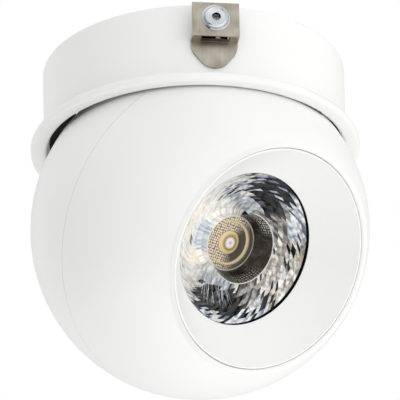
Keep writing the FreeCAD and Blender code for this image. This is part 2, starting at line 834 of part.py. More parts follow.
def lens():
    """A clear collimator: a cone with a flange, a cavity over the emitter and a stepped well in front."""
    flange_low = lens_face - lens_flange_thickness
    well_floor = lens_face - well_depth
    step_low = well_floor - well_step_depth
    foot_inner = lens_foot_radius - lens_foot_width
    cavity_edge = lens_foot + lens_cavity_depth
    return aim(turned([
        (0, cavity_edge + lens_cavity_dome, 0, cap_bulge(foot_inner, lens_cavity_dome)),
        (foot_inner, cavity_edge),
        (foot_inner, lens_foot),
        (lens_foot_radius, lens_foot, 0, -lens_cone_bulge),
        (lens_flange_radius - lens_cone_inset, flange_low),
        (lens_flange_radius, flange_low),
        (lens_flange_radius, lens_face),
        (well_mouth_radius, lens_face, well_edge_round),
        (well_floor_radius, well_floor),
        (well_ring_radius, well_floor),
        (well_ring_radius, step_low),
        (well_dome_radius, step_low, 0, -cap_bulge(well_dome_radius, well_dome_rise)),
        (0, step_low + well_dome_rise),
    ]))


def front_bezel():
    """The white dished ring in the ball's mouth. It stands on the front shell's ledge and its inner
    edge holds the lens down."""
    under = lens_face + turning_face_gap
    dish_low = under + bezel_inner_edge
    dish_start = bezel_radius - bezel_rim_width
    ledge_bore = bezel_radius - bezel_seat_width - hole_gap
    slope = math.atan2(bezel_rim - dish_low, dish_start - lens_view_radius)
    fall = bezel_wall / math.cos(slope)
    under_reach = lens_holder_radius + hole_gap
    rise = math.tan(slope)
    return aim(turned([
        (lens_view_radius, dish_low),
        (lens_view_radius, under),
        (under_reach, under),
        (under_reach, dish_low + (under_reach - lens_view_radius) * rise - fall),
        (ledge_bore, dish_low + (ledge_bore - lens_view_radius) * rise - fall),
        (ledge_bore, bezel_seat),
        (bezel_radius, bezel_seat),
        (bezel_radius, bezel_rim, bezel_rim_round),
        (dish_start, bezel_rim, 0, bezel_hollow),
    ]))


def save(name, shape):
    if not shape.isValid():
        print("not valid:", name)
    shape.exportStep("parts/" + name + ".step")
    print(name, len(shape.Solids), "solids", round(shape.Volume, 1), "mm3")


save("collar_ring", collar_ring())
save("bridge_plate", bridge_plate())
save("bridge_screws", bridge_screws())
save("stop_pin", stop_pin())
save("spring_clip_front", turn(spring_clip(), clip_azimuths[0]))
save("spring_clip_rear", turn(spring_clip(), clip_azimuths[1]))
save("clip_spacers", at_both_clips(clip_spacer()))
save("clip_rivets", at_both_clips(clip_rivet()))
save("yoke", yoke())
save("hollow_nipple", hollow_nipple())
save("pan_friction_washer", pan_friction_washer())
save("pan_spring_washer", pan_spring_washer())
save("pan_nut", pan_nut())
save("cable_bush", cable_bush())
save("front_shell", front_shell())
save("rear_shell", rear_shell())
save("heat_sink", heat_sink())
save("sink_screws", sink_screws())
save("rear_shell_screws", rear_shell_screws())
save("pivot_screws", at_both_pivots(pivot_screw()))
save("pivot_friction_washers", at_both_pivots(
    pivot_ring(pivot_washer_diameter / 2, sink_boss_end, pivot_washer_thickness)))
save("pivot_spring_washers", at_both_pivots(
    pivot_ring(pivot_spring_diameter / 2, pivot_spring_start, pivot_spring_thickness)))
save("thermal_pad", thermal_pad())
save("led_board", led_board())
save("led_emitter", led_emitter())
save("led_holder", led_holder())
save("holder_screws", holder_screws())
save("lens_holder", lens_holder())
save("lens", lens())
save("front_bezel", front_bezel())
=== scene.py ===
# %% [markdown]
# A white ball spotlight, dressed for its portrait.
# The solids come from the imported model and stay as they are. This script gives each of them a
# finish, makes the pieces whose fine shape the eye looks for (the faceted lens with its painted
# reflections, its dotted floor, the black ring of painted shadow round it and the stepped rivets),
# and sets the light and the camera.

import json
import math
import random

import bmesh
import bpy
from mathutils import Matrix, Vector


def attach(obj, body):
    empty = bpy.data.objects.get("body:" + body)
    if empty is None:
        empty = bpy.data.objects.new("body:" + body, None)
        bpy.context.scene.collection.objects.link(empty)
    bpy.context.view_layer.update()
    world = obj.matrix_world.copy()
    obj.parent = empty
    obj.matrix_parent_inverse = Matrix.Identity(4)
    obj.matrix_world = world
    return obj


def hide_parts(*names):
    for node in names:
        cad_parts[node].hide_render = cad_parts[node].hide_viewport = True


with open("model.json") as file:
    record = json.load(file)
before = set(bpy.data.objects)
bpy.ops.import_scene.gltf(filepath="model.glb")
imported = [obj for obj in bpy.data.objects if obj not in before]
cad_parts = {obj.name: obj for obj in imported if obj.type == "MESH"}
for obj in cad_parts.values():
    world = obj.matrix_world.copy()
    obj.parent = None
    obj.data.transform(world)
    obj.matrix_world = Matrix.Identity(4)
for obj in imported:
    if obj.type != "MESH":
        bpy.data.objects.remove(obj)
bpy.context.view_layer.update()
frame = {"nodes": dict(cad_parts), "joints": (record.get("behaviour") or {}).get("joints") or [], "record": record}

# %% [markdown]
# Blender counts in metres and this fitting is a few centimetres across, so its own pieces are
# drawn in millimetres and shrunk once, when they are put in place. The ball's pieces are drawn in a
# frame of their own, with the origin at the ball's centre and +Z out through the lens. One matrix,
# worked out from the tilt joint, takes them to their place at rest.

# %% Millimetres and the ball's frame
MM = 0.001
SHRINK = Matrix.Scale(MM, 4)
FULL_TURN = 2 * math.pi
# The tilt axis passes this far behind the ball's centre.
PIVOT_SETBACK = 1.3
tilt_joint = next(joint for joint in frame["joints"] if joint["name"] == "tilt")
# At the lower end of its range the joint points the lens straight down.
REST_TILT = math.radians(-tilt_joint["range_deg"][0])
LENS_FRAME = (
    Matrix.Translation(Vector(tilt_joint["pos_m"]))
    @ Matrix.Rotation(math.pi - REST_TILT, 4, "X")
    @ Matrix.Translation((0, 0, PIVOT_SETBACK * MM))
    @ SHRINK
)
print("ball's centre:", [round(value / MM, 2) for value in LENS_FRAME.translation], "mm")

# %% [markdown]
# A lathe of one outline is the natural way to make nearly everything here, because the real pieces
# were turned, cast or moulded round. One function spins an outline, one finishes a mesh as an object
# that rides on its body, and one lays a flat map on it, for patterns that follow the surface.

# %% A lathe, a finished piece and a flat map
MERGE_MM = 0.0005


def lathe(outline, steps, start=0.0, turn=FULL_TURN):
    """A mesh turned about Z from (radius, height) points, from the angle start onwards."""
    mesh = bmesh.new()
    points = [mesh.verts.new((radius, 0, height)) for radius, height in outline]
    edges = [mesh.edges.new(pair) for pair in zip(points, points[1:])]
    bmesh.ops.rotate(mesh, cent=(0, 0, 0), matrix=Matrix.Rotation(start, 3, "Z"), verts=mesh.verts)
    bmesh.ops.spin(mesh, geom=points + edges, cent=(0, 0, 0), axis=(0, 0, 1), angle=turn,
                   steps=steps, use_merge=turn == FULL_TURN, use_duplicate=False)
    bmesh.ops.remove_doubles(mesh, verts=mesh.verts, dist=MERGE_MM)
    return mesh


def piece(mesh, name, finish, body, place, smooth_angle=30):
    """Turns a bmesh into a finished object: normals out, in place, shaded and riding on its body."""
    bmesh.ops.transform(mesh, matrix=place, verts=mesh.verts)
    bmesh.ops.recalc_face_normals(mesh, faces=mesh.faces)
    for face in mesh.faces:
        face.smooth = smooth_angle > 0
    data = bpy.data.meshes.new(name)
    mesh.to_mesh(data)
    mesh.free()
    if smooth_angle > 0:
        data.set_sharp_from_angle(angle=math.radians(smooth_angle))
    data.materials.append(finish)
    made = bpy.data.objects.new(name, data)
    bpy.context.scene.collection.objects.link(made)
    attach(made, body)
    print("made", name, len(data.polygons), "faces")
    return made


def lay_flat(mesh, per_turn=False):
    """A UV map in the mesh's own millimetres: (x, y), or with per_turn (turns round Z, height)."""
    layer = mesh.loops.layers.uv.new("UVMap")
    for face in mesh.faces:
        middle = face.calc_center_median()
        away = math.atan2(middle.y, middle.x)
        for loop in face.loops:
            x, y, z = loop.vert.co
            if per_turn:
                offset = (math.atan2(y, x) - away + math.pi) % FULL_TURN - math.pi
                loop[layer].uv = ((away + offset) / FULL_TURN, z)
            else:
                loop[layer].uv = (x, y)


print("helpers:", lathe.__name__, piece.__name__, lay_flat.__name__)

# %% [markdown]
# Every finish is a small tree of nodes that ends in one Principled shader. Four helpers keep the
# trees short: one turns a web colour into the linear numbers that the shader wants, one fills in a
# node's inputs, one adds a node with its settings, and one starts a material.

# %% Colours and nodes
# A Mix node keeps other sockets for each kind of value. These are its inputs and output for colours.
UNDER, OVER, MIXED = 6, 7, 2


def srgb(code):
    """Linear RGBA of a web colour such as "f4f4f2"."""
    channels = [int(code[start:start + 2], 16) / 255 for start in (0, 2, 4)]
    linear = [c / 12.92 if c <= 0.04045 else ((c + 0.055) / 1.055) ** 2.4 for c in channels]
    return (*linear, 1.0)


def connect(tree, node, sockets):
    """Fills in inputs by name or number. A node given as a value stands for its first output."""
    for key, value in sockets.items():
        source = value.outputs[0] if isinstance(value, bpy.types.Node) else value
        if isinstance(source, bpy.types.NodeSocket):
            tree.links.new(source, node.inputs[key])
        else:
            node.inputs[key].default_value = source


def add_node(tree, kind, sockets=None, stops=(), **settings):
    """Adds a node with its settings, its inputs and a colour ramp's (place, web colour) stops."""
    node = tree.nodes.new("ShaderNode" + kind)
    for key, value in settings.items():
        setattr(node, key, value)
    connect(tree, node, sockets or {})
    if stops:
        bar = node.color_ramp
        while len(bar.elements) < len(stops):
            bar.elements.new(0.5)
        for element, (place, code) in zip(bar.elements, stops):
            element.position = place
            element.color = srgb(code)
    return node


def new_finish(name, **values):
    """A material with one Principled shader, whose uniform values are set on its own sockets."""
    finish = bpy.data.materials.new(name)
    finish.use_nodes = True
    tree = finish.node_tree
    shader = tree.nodes["Principled BSDF"]
    connect(tree, shader, {key.replace("_", " "): value for key, value in values.items()})
    return finish, tree, shader


print("web grey 808080 is", round(srgb("808080")[0], 3), "of white's light")

# %% [markdown]
# Powder coat is a baked polyester film. On a good casting it is nearly flat, with a soft gloss and a
# very fine orange peel that only a grazing light shows. White stays white: a trace of dust changes its
# brightness by a hair and dulls the gloss here and there. Grain and peel are too shallow to model as
# shape, so each is a bump from a noise in its real size.

# %% White powder coat
PEEL_MM, PEEL_DEPTH_MM = 0.9, 0.02
GRAIN_MM, GRAIN_DEPTH_MM = 0.25, 0.01
DUST_MM = 18
CLEAN_WHITE, DUSTY_WHITE = "fcfcfb", "fafaf9"
FILM_GLOSS = 0.12


def powder_coat(name):
    """The white coat: its material, tree, shader and the output with the place on the object."""
    finish, tree, shader = new_finish(name, Coat_Weight=FILM_GLOSS, Coat_Roughness=0.2)
    place = add_node(tree, "TexCoord").outputs["Object"]
    grain = add_node(tree, "TexNoise", {"Vector": place, "Scale": 1 / (GRAIN_MM * MM), "Detail": 2.0})
    peel = add_node(tree, "TexNoise", {"Vector": place, "Scale": 1 / (PEEL_MM * MM), "Detail": 1.0})
    dust = add_node(tree, "TexNoise", {"Vector": place, "Scale": 1 / (DUST_MM * MM), "Detail": 3.0})
    tone = add_node(tree, "ValToRGB", {0: dust}, stops=[(0.35, DUSTY_WHITE), (0.65, CLEAN_WHITE)])
    dull = add_node(tree, "MapRange", {"Value": dust, "To Min": 0.4, "To Max": 0.5})
    fine = add_node(tree, "Bump", {"Height": grain, "Strength": 0.12, "Distance": GRAIN_DEPTH_MM * MM})
    soft = add_node(tree, "Bump", {"Height": peel, "Strength": 0.15, "Distance": PEEL_DEPTH_MM * MM,
                                   "Normal": fine})
    connect(tree, shader, {"Base Color": tone, "Roughness": dull, "Normal": soft})
    return finish, tree, shader, place


white_coat = powder_coat("white_powder_coat")[0]
print("finish:", white_coat.name)

# %% [markdown]
# At the left of the ball's mouth the front shell's coat is painted a little greyer, a painted
# shade, so the rim doesn't shine beside the bezel. Painting a ring on the shell needs the distance
# from the lens's axis, so a Mapping node takes the place on the object into the ball's frame. One
# mask fades in towards the mouth and one towards the left, and their product says how much of the
# painted grey shows.

# %% The front shell's coat, with painted shade at the mouth's left edge
# Painted shade at the mouth's left edge: where it fades in, towards which side, and its grey.
MOUTH_FADE_MM = (28.9, 28.0)
PAINTED_SHADE_SIDE = (-0.98, -0.17, 0)
PAINTED_SHADE_FADE_MM = (0.0, 18.0)
PAINTED_SHADE_GREY = "e9e9e7"


def repaint(tree, shader, share, code):
    """Turns a coat into another colour where share is 1."""
    under = shader.inputs["Base Color"].links[0].from_socket
    both = add_node(tree, "Mix", {"Factor": share, UNDER: under, OVER: srgb(code)}, data_type="RGBA")
    connect(tree, shader, {"Base Color": both.outputs[MIXED]})


shell_coat, tree, shader, place = powder_coat("white_powder_coat_painted_shade_edge")
shift, turn, size = LENS_FRAME.inverted().decompose()
in_ball = add_node(tree, "Mapping", {"Vector": place, "Location": shift, "Rotation": turn.to_euler(),
                                     "Scale": size})
across = add_node(tree, "VectorMath", {0: in_ball, 1: (1, 1, 0)}, operation="MULTIPLY")
from_axis = add_node(tree, "VectorMath", {0: across}, operation="LENGTH").outputs["Value"]
edge = add_node(tree, "MapRange", {"Value": from_axis, "From Min": MOUTH_FADE_MM[0],
                                   "From Max": MOUTH_FADE_MM[1]})
leftward = add_node(tree, "VectorMath", {0: in_ball, 1: PAINTED_SHADE_SIDE}, operation="DOT_PRODUCT")
left_side = add_node(tree, "MapRange", {"Value": leftward.outputs["Value"],
                                        "From Min": PAINTED_SHADE_FADE_MM[0], "From Max": PAINTED_SHADE_FADE_MM[1]})
# How much of the painted shade shows.
painted_light_share = add_node(tree, "Math", {0: edge, 1: left_side}, operation="MULTIPLY")
repaint(tree, shader, painted_light_share, PAINTED_SHADE_GREY)
print("finish:", shell_coat.name)

# %% [markdown]
# The bore is painted black, a painted shade, so that no light shows past the ball. A mask has to
# find the bore on a casting that is white outside: everything nearer to the pan axis than the bore's
# wall, and above a height that changes from the middle to the front. A small patch behind each clip's
# slot is painted black too, a painted shadow, apart from a round spot where the white coat is left on.
# The same mask takes the gloss away, because black that shines would look grey.

# %% The collar's bore
BORE_EDGE = 36.62 * MM
# Points of the line where the painted shade begins: (distance in front of the pan axis, height).
BLACK_FROM = [(11 * MM, 0.9 * MM), (20 * MM, -2.07 * MM), (36.3 * MM, -1.6 * MM)]
FRONT_SIDE = (-0.672, -0.741, 0)

collar_coat, tree, shader, place = powder_coat("white_powder_coat_painted_shade_bore")
axes = add_node(tree, "SeparateXYZ", {0: place}).outputs
flat = add_node(tree, "CombineXYZ", {"X": axes["X"], "Y": axes["Y"]})
from_axis = add_node(tree, "VectorMath", {0: flat}, operation="LENGTH").outputs["Value"]
inside = add_node(tree, "Math", {0: from_axis, 1: BORE_EDGE}, operation="LESS_THAN")
ahead = add_node(tree, "VectorMath", {0: place, 1: FRONT_SIDE}, operation="DOT_PRODUCT")
stretches = []
for (near, low), (far, high) in zip(BLACK_FROM, BLACK_FROM[1:]):
    stretches.append(add_node(tree, "MapRange", {"Value": ahead.outputs["Value"], "From Min": near,
                                                 "From Max": far, "To Min": low, "To Max": high}))
black_from = add_node(tree, "Math", {0: stretches[0], 1: stretches[1]}, operation="MAXIMUM")
above = add_node(tree, "Math", {0: axes["Z"], 1: black_from}, operation="GREATER_THAN")
bore = add_node(tree, "Math", {0: inside, 1: above}, operation="MULTIPLY")
print("bore: black inside", round(BORE_EDGE / MM, 2), "mm from the pan axis")

# %% The painted shadow behind each clip's slot
CLIP_AZIMUTH = math.radians(-34.2)
PATCH_HALF_WIDTH = 3.3 * MM
PATCH_MIDDLE, PATCH_HALF_HEIGHT = 10.8 * MM, 1.8 * MM
SPOT = Vector((1.0, 0, 10.35)) * MM
SPOT_RADIUS = 0.6 * MM

on_clip_side = add_node(tree, "Mapping", {"Vector": place, "Rotation": (0, 0, -CLIP_AZIMUTH)})
axes = add_node(tree, "SeparateXYZ", {0: on_clip_side}).outputs
sideways = add_node(tree, "Math", {0: axes["X"]}, operation="ABSOLUTE")
narrow = add_node(tree, "Math", {0: sideways, 1: PATCH_HALF_WIDTH}, operation="LESS_THAN")
level = add_node(tree, "Math", {0: axes["Z"], 1: PATCH_MIDDLE, 2: PATCH_HALF_HEIGHT},
                 operation="COMPARE")
upright = add_node(tree, "CombineXYZ", {"X": axes["X"], "Z": axes["Z"]})
from_spot = add_node(tree, "VectorMath", {0: upright, 1: SPOT}, operation="DISTANCE").outputs["Value"]
off_spot = add_node(tree, "Math", {0: from_spot, 1: SPOT_RADIUS}, operation="GREATER_THAN")
window = add_node(tree, "Math", {0: narrow, 1: level}, operation="MULTIPLY")
patch = add_node(tree, "Math", {0: window, 1: off_spot}, operation="MULTIPLY")
print("patch:", round(2 * PATCH_HALF_WIDTH / MM, 1), "by", round(2 * PATCH_HALF_HEIGHT / MM, 1), "mm")

# %% The collar's coat, with painted shade in its bore and patches
# The painted shade's black, for the bore and the patches.
PAINTED_SHADE_BLACK = "030303"
PLAIN_SPECULAR, BLACK_SPECULAR = 0.5, 0.03

painted_shade = add_node(tree, "Math", {0: bore, 1: patch}, operation="MAXIMUM")
repaint(tree, shader, painted_shade, PAINTED_SHADE_BLACK)
specular = add_node(tree, "MapRange", {"Value": painted_shade, "To Min": PLAIN_SPECULAR,
                                       "To Max": BLACK_SPECULAR})
film = add_node(tree, "MapRange", {"Value": painted_shade, "To Min": FILM_GLOSS, "To Max": 0.0})
connect(tree, shader, {"Specular IOR Level": specular, "Coat Weight": film})
print("finish:", collar_coat.name)

# %% [markdown]
# The clip is stamped from cold-rolled stainless strip. Rolling leaves fine parallel lines and the
# sheet has a warm, greyish cast. Lines are a noise stretched along the strip's length: at a real
# scratch spacing of some hundredths of a millimetre they would vanish in the picture, so they are
# drawn ten times as coarse. The turned, plated and cast metals take the same tree with an even
# noise, and differ in colour and gloss.

# %% Metals
LINE_MM, LINE_LENGTH_MM = 0.3, 14
SPECK_MM = 1.2
CLOUD_MM, CLOUD_SHARE = 4, 0.75
SCRATCH_DEPTH_MM = 0.02


def bare_metal(name, light, dark, roughness, spacing_mm):
    """A metal whose marks are that far apart along X, Y and Z."""
    finish, tree, shader = new_finish(name, Metallic=1.0)
    place = add_node(tree, "TexCoord").outputs["Object"]
    stretch = [1 / (spacing * MM) for spacing in spacing_mm]
    fitted = add_node(tree, "Mapping", {"Vector": place, "Scale": stretch})
    lines = add_node(tree, "TexNoise", {"Vector": fitted, "Scale": 1.0, "Detail": 3.0})
    cloud = add_node(tree, "TexNoise", {"Vector": place, "Scale": 1 / (CLOUD_MM * MM), "Detail": 2.0})
    marks = add_node(tree, "Mix", {"Factor": CLOUD_SHARE, "A": lines, "B": cloud})
    tone = add_node(tree, "ValToRGB", {0: marks}, stops=[(0.3, dark), (0.7, light)])
    rub = add_node(tree, "MapRange", {"Value": lines, "To Min": roughness * 0.8,
                                      "To Max": roughness * 1.25})
    bump = add_node(tree, "Bump", {"Height": lines, "Strength": 0.2, "Distance": SCRATCH_DEPTH_MM * MM})
    connect(tree, shader, {"Base Color": tone, "Roughness": rub, "Normal": bump})
    return finish


ALONG_Z = (LINE_MM, LINE_MM, LINE_LENGTH_MM)
EVEN = (SPECK_MM, SPECK_MM, SPECK_MM)
spring_steel = bare_metal("rolled_stainless_strip", "c0baad", "979082", 0.36, ALONG_Z)
rivet_metal = bare_metal("nickel_plated_rivet", "d9dcdf", "c5cacd", 0.07, EVEN)
spacer_steel = bare_metal("bright_turned_steel", "d4d0c8", "a9a49b", 0.25, EVEN)
zinc_steel = bare_metal("zinc_plated_steel", "c4c8cc", "9aa0a6", 0.32, EVEN)
cast_aluminium = bare_metal("die_cast_aluminium", "c0c1c2", "94969a", 0.5, EVEN)
print("finish:", spring_steel.name, rivet_metal.name, zinc_steel.name, cast_aluminium.name)

# %% [markdown]
# The small mouldings are plain plastics and rubber. What tells them apart is their gloss and the
# spark-eroded grain of the mould, which is a fine even bump. The yellow gel over the light source
# scatters the room's light so well that it seems to glow, so it sends out a little light of its own.

# %% Plastics, board and phosphor
MOULD_DEPTH_MM = 0.02
GEL_GLOW = 0.25


def moulding(name, light, dark, roughness, grain_mm, **values):
    """A plastic or rubber with the even grain of its mould."""
    finish, tree, shader = new_finish(name, Roughness=roughness, **values)
    place = add_node(tree, "TexCoord").outputs["Object"]
    grain = add_node(tree, "TexNoise", {"Vector": place, "Scale": 1 / (grain_mm * MM), "Detail": 3.0})
    tone = add_node(tree, "ValToRGB", {0: grain}, stops=[(0.35, dark), (0.65, light)])
    bump = add_node(tree, "Bump", {"Height": grain, "Strength": 0.25, "Distance": MOULD_DEPTH_MM * MM})
    connect(tree, shader, {"Base Color": tone, "Normal": bump})
    return finish


nylon = moulding("natural_nylon", "e9e4d6", "ddd7c6", 0.45, 0.5)
pad_rubber = moulding("grey_silicone_pad", "8d8f92", "7b7d80", 0.8, 0.3)
board_white = moulding("white_solder_mask", "eceae4", "dedcd5", 0.35, 0.6)
phosphor = moulding("yellow_phosphor_gel", "f2c94e", "e3a92c", 0.3, 0.4, Emission_Color=srgb("f6c65a"),
                    Emission_Strength=GEL_GLOW)
black_plastic = moulding("black_polycarbonate", "141417", "0d0d0f", 0.4, 0.4)
print("finish:", nylon.name, board_white.name, phosphor.name, black_plastic.name)

# %% [markdown]
# Each solid says in the record what it is made of, so a table of finishes by that word dresses them
# all. The collar and the front shell then get their own coats. A finer piece replaces the lens's
# solid further down, so that solid isn't seen and any coat will do for it.

# %% Dress the solids
DRESS = {
    "white_coat": white_coat,
    "spring_steel": spring_steel,
    "rivet_metal": rivet_metal,
    "spacer_steel": spacer_steel,
    "zinc_steel": zinc_steel,
    "cast_aluminium": cast_aluminium,
    "nylon": nylon,
    "pad_rubber": pad_rubber,
    "board_white": board_white,
    "phosphor": phosphor,
    "black_plastic": black_plastic,
}
for part in frame["record"]["subparts"]:
    solid = frame["nodes"][part["node"]]
    solid.data.materials.clear()
    solid.data.materials.append(DRESS.get(part["material_slot"], white_coat))
frame["nodes"]["collar_ring"].data.materials[0] = collar_coat
frame["nodes"]["front_shell"].data.materials[0] = shell_coat
print("dressed", len(frame["nodes"]), "solids")

# %% [markdown]
# The lens is the eye of the lamp: a clear moulding whose back is a bowl of long facets laid in a
# swirl. Each facet throws back one bit of the room, the holder or the light source by total
# reflection. Glass in a plain studio has nothing of that sort to mirror, so the bowl is built as the
# mirror that it acts as: every facet is a real flat face with a painted reflection in its colour. The
# painted reflections follow a short list of sectors, from the black streaks at the top to the pale
# left side, and a seeded random choice within each sector keeps the sparkle uneven.

# %% Painted reflections of the facets
# Palettes of painted reflections: colours that stand in for what the facets mirror.
PALETTES = {
    "night": ["14161c", "1d2230", "0c0d11", "2b3142", "0f1116", "98a4b8", "0a0b0e", "d9dfe8"],
    "ink": ["17181b", "26262a", "0c0d0f", "34332f", "141518", "0f0f12", "5a5e66"],
    "slate": ["6d7480", "9ba4b2", "2c313c", "b7bec9", "1c1f26", "d6dae0", "e4e6e8"],
    "ice": ["cdd6e2", "e8edf2", "bac2cc", "f2f4f5", "9aa5b4", "dfe2e5", "5a6579", "ced2d6", "f4f5f6"],
    "white": ["f6f6f5", "e4e2de", "cfd3d9", "fbfbfa", "d8cfc2"],
    "sand": ["dcd4c8", "c4b8a8", "efeae1", "b3a898", "e6e1d8", "f6f4ef"],
    "dune": ["e2ded6", "cac3b8", "b3ada3", "eeece7", "a09a90"],
    "stone": ["8d8a86", "a5a29e", "67635e", "bdbab6", "4d4a46"],
    "earth": ["5e5952", "756f66", "403c38", "8f877c", "4c4843", "a39b90"],
    "pearl": ["ebe9e5", "e2ded7", "f0eeeb", "d7d3cd", "eae9e6"],
    "haze": ["dddbd7", "cac7c2", "ebe9e5", "b2aea8", "f0efeb"],
    "mist": ["c2c8cf", "cdd2d7", "adb5be", "dadee1"],
    "cream": ["f3ecdc", "f2e4c4", "f3efe6", "eee6d3"],
    "confetti": ["f6f7f8", "c8d6e6", "26415f", "101217", "e9eaea", "4a5567", "f0f1f2", "a9b8ca", "0c0d10"],
}
# Each sector: azimuth from and to in degrees, share of the wall from its rim (0) to its foot (1),
# past which comes the pillar, and its palette of painted reflections. The first sector that holds a
# facet counts, and pearl is what is left.
SECTORS = [
    (86, 102, 0.06, 0.27, "night"), (84, 104, 0.00, 0.28, "slate"), (60, 86, 0.00, 0.38, "night"),
    (84, 108, 0.28, 0.62, "slate"), (46, 86, 0.38, 0.74, "ink"), (104, 122, 0.50, 0.80, "slate"),
    (60, 104, 0.74, 1.00, "mist"), (51, 60, 0.05, 0.32, "night"), (38, 60, 0.30, 0.54, "earth"),
    (27, 42, 0.03, 0.16, "slate"), (22, 60, 0.00, 0.36, "ice"), (22, 60, 0.36, 1.00, "stone"),
    (15, 21, 0.04, 0.13, "night"), (-34, 22, 0.00, 0.20, "sand"), (-45, 22, 0.20, 0.36, "white"),
    (-34, 22, 0.36, 0.62, "dune"), (-45, 22, 0.62, 1.00, "earth"), (-45, -34, 0.02, 0.16, "night"),
    (-45, -22, 0.36, 0.62, "stone"), (-52, -47, 0.03, 0.16, "night"), (-60, -34, 0.00, 0.25, "ice"),
    (-55, -42, 0.25, 0.62, "stone"), (-110, -55, 0.24, 0.76, "ink"), (-112, -56, 0.76, 1.00, "mist"),
    (-116, -58, 0.00, 0.24, "confetti"), (-124, -105, 0.10, 0.80, "haze"),
    (104, 126, 0.00, 0.50, "haze"), (150, 192, 0.42, 0.76, "cream"), (208, 238, 0.80, 1.10, "cream"),
    (191, 200, 0.76, 0.95, "stone"), (211, 222, 0.62, 0.78, "haze"), (160, 214, 1.00, 2.00, "mist"),
    (186, 240, 0.22, 0.55, "haze"), (122, 134, 0.76, 0.95, "haze"),
    (-70, 70, 1.00, 2.00, "ink"), (-120, -70, 1.00, 2.00, "haze"),
]
AZIMUTH_BLUR = 6.0
DEPTH_BLUR_SHARE = 0.05
# A row of dark teardrops of painted reflection runs through the white sector: its depth, and angles
# in degrees.
TEARDROP_SHARES = (0.22, 0.35)
TEARDROP_START = -2
TEARDROP_SPACING = 11.6
TEARDROP_WIDTH = 4.6


def reflection_colour(azimuth, share, chance):
    """Web colour of a facet's painted reflection in the middle of that azimuth, in degrees, and share of the wall.
    """
    blurred = azimuth + chance.uniform(-AZIMUTH_BLUR, AZIMUTH_BLUR)
    depth = share + chance.uniform(-DEPTH_BLUR_SHARE, DEPTH_BLUR_SHARE)
    in_drop_row = TEARDROP_SHARES[0] < share < TEARDROP_SHARES[1]
    on_drop = in_drop_row and (azimuth - TEARDROP_START) % TEARDROP_SPACING < TEARDROP_WIDTH
    for low, high, near, far, palette in SECTORS:
        if (blurred - low) % 360 < high - low and near <= depth < far:
            return chance.choice(PALETTES["night" if on_drop and palette == "white" else palette])
    return chance.choice(PALETTES["pearl"])


print("sectors:", len(SECTORS), "palettes:", len(PALETTES))

# %% [markdown]
# Each facet carries its painted reflection in a colour attribute, and in the attribute's alpha how
# much of the fine white hairs at the lower left it shows. Hairs and dark streaks are painted
# reflections finer than a facet, so they are noises stretched down the wall, in the wall's own turns
# and millimetres. The streaks are strong round the right side, at azimuth 0, and faint past a third
# of a turn from it. Total reflection also brings each facet light from inside the lamp, which no
# panel gives a plain mirror, so a facet glows a little in its own painted colour: a painted glow.

# %% The finish of the facets
# A painted glow in each facet's painted colour.
FACET_GLOW = 0.25
# Painted reflections finer than a facet: white hairs and dark streaks.
HAIRS_PER_TURN, HAIRS_PER_MM = 300, 0.35
HAIR_COLOUR = "e6e9ec"
STREAKS_PER_TURN, STREAKS_PER_MM = 95, 1.1
STREAK_LEAN = math.radians(-0.4)
STREAKS = [(0.36, "6f7073"), (0.5, "e2e2e2"), (0.62, "ffffff")]
STREAK_FADE_TURNS, STREAK_STRENGTHS = (0.28, 0.36), (0.7, 0.12)
HAIR_NOISE = (0.5, 0.64)

mirror, tree, shader = new_finish("faceted_acrylic_mirror", Metallic=0.3, Roughness=0.16,
                                  Coat_Weight=0.2, Coat_Roughness=0.05, Emission_Strength=FACET_GLOW)
facet_reflection = add_node(tree, "Attribute", attribute_name="facet_reflection")
on_wall = add_node(tree, "UVMap", uv_map="UVMap")
hair_place = add_node(tree, "Mapping", {"Vector": on_wall, "Scale": (HAIRS_PER_TURN, HAIRS_PER_MM, 1)})
hairs = add_node(tree, "TexNoise", {"Vector": hair_place, "Scale": 1.0, "Detail": 2.0})
painted_light_share = add_node(tree, "MapRange", {"Value": hairs, "From Min": HAIR_NOISE[0],
                                   "From Max": HAIR_NOISE[1]})
hairy = add_node(tree, "Math", {0: painted_light_share, 1: facet_reflection.outputs["Alpha"]}, operation="MULTIPLY")
streak_place = add_node(tree, "Mapping", {"Vector": on_wall, "Rotation": (0, 0, STREAK_LEAN),
                                          "Scale": (STREAKS_PER_TURN, STREAKS_PER_MM, 1)})
streaks = add_node(tree, "TexNoise", {"Vector": streak_place, "Scale": 1.0, "Detail": 4.0})
dark_streaks = add_node(tree, "ValToRGB", {0: streaks}, stops=STREAKS)
turns = add_node(tree, "SeparateXYZ", {0: on_wall}).outputs["X"]
from_right = add_node(tree, "Math", {0: turns}, operation="ABSOLUTE")
strength = add_node(tree, "MapRange", {"Value": from_right, "From Min": STREAK_FADE_TURNS[0],
                                       "From Max": STREAK_FADE_TURNS[1],
                                       "To Min": STREAK_STRENGTHS[0], "To Max": STREAK_STRENGTHS[1]})
streaked = add_node(tree, "Mix", {"Factor": strength, UNDER: facet_reflection, OVER: dark_streaks},
                    data_type="RGBA", blend_type="MULTIPLY").outputs[MIXED]
colour = add_node(tree, "Mix", {"Factor": hairy, UNDER: streaked, OVER: srgb(HAIR_COLOUR)},
                  data_type="RGBA").outputs[MIXED]
connect(tree, shader, {"Base Color": colour, "Emission Color": colour})
print("finish:", mirror.name)

# %% [markdown]
# The bowl is one outline on the lathe, in as many steps as the lens has facets round it. Turning each
# ring a bit further than the one before lays the facets in a swirl, and a small random push on every
# corner makes each face catch the light at an angle of its own. The foot of the bowl goes on into
# the pillar that carries the well. A mesh may list its corners in another order in the next run, so
# the random numbers are drawn ring by ring and round the axis.

# %% The bowl's rings
FACETS_ROUND = 93
FACET_ROWS = 11
SWIRL = math.radians(70)
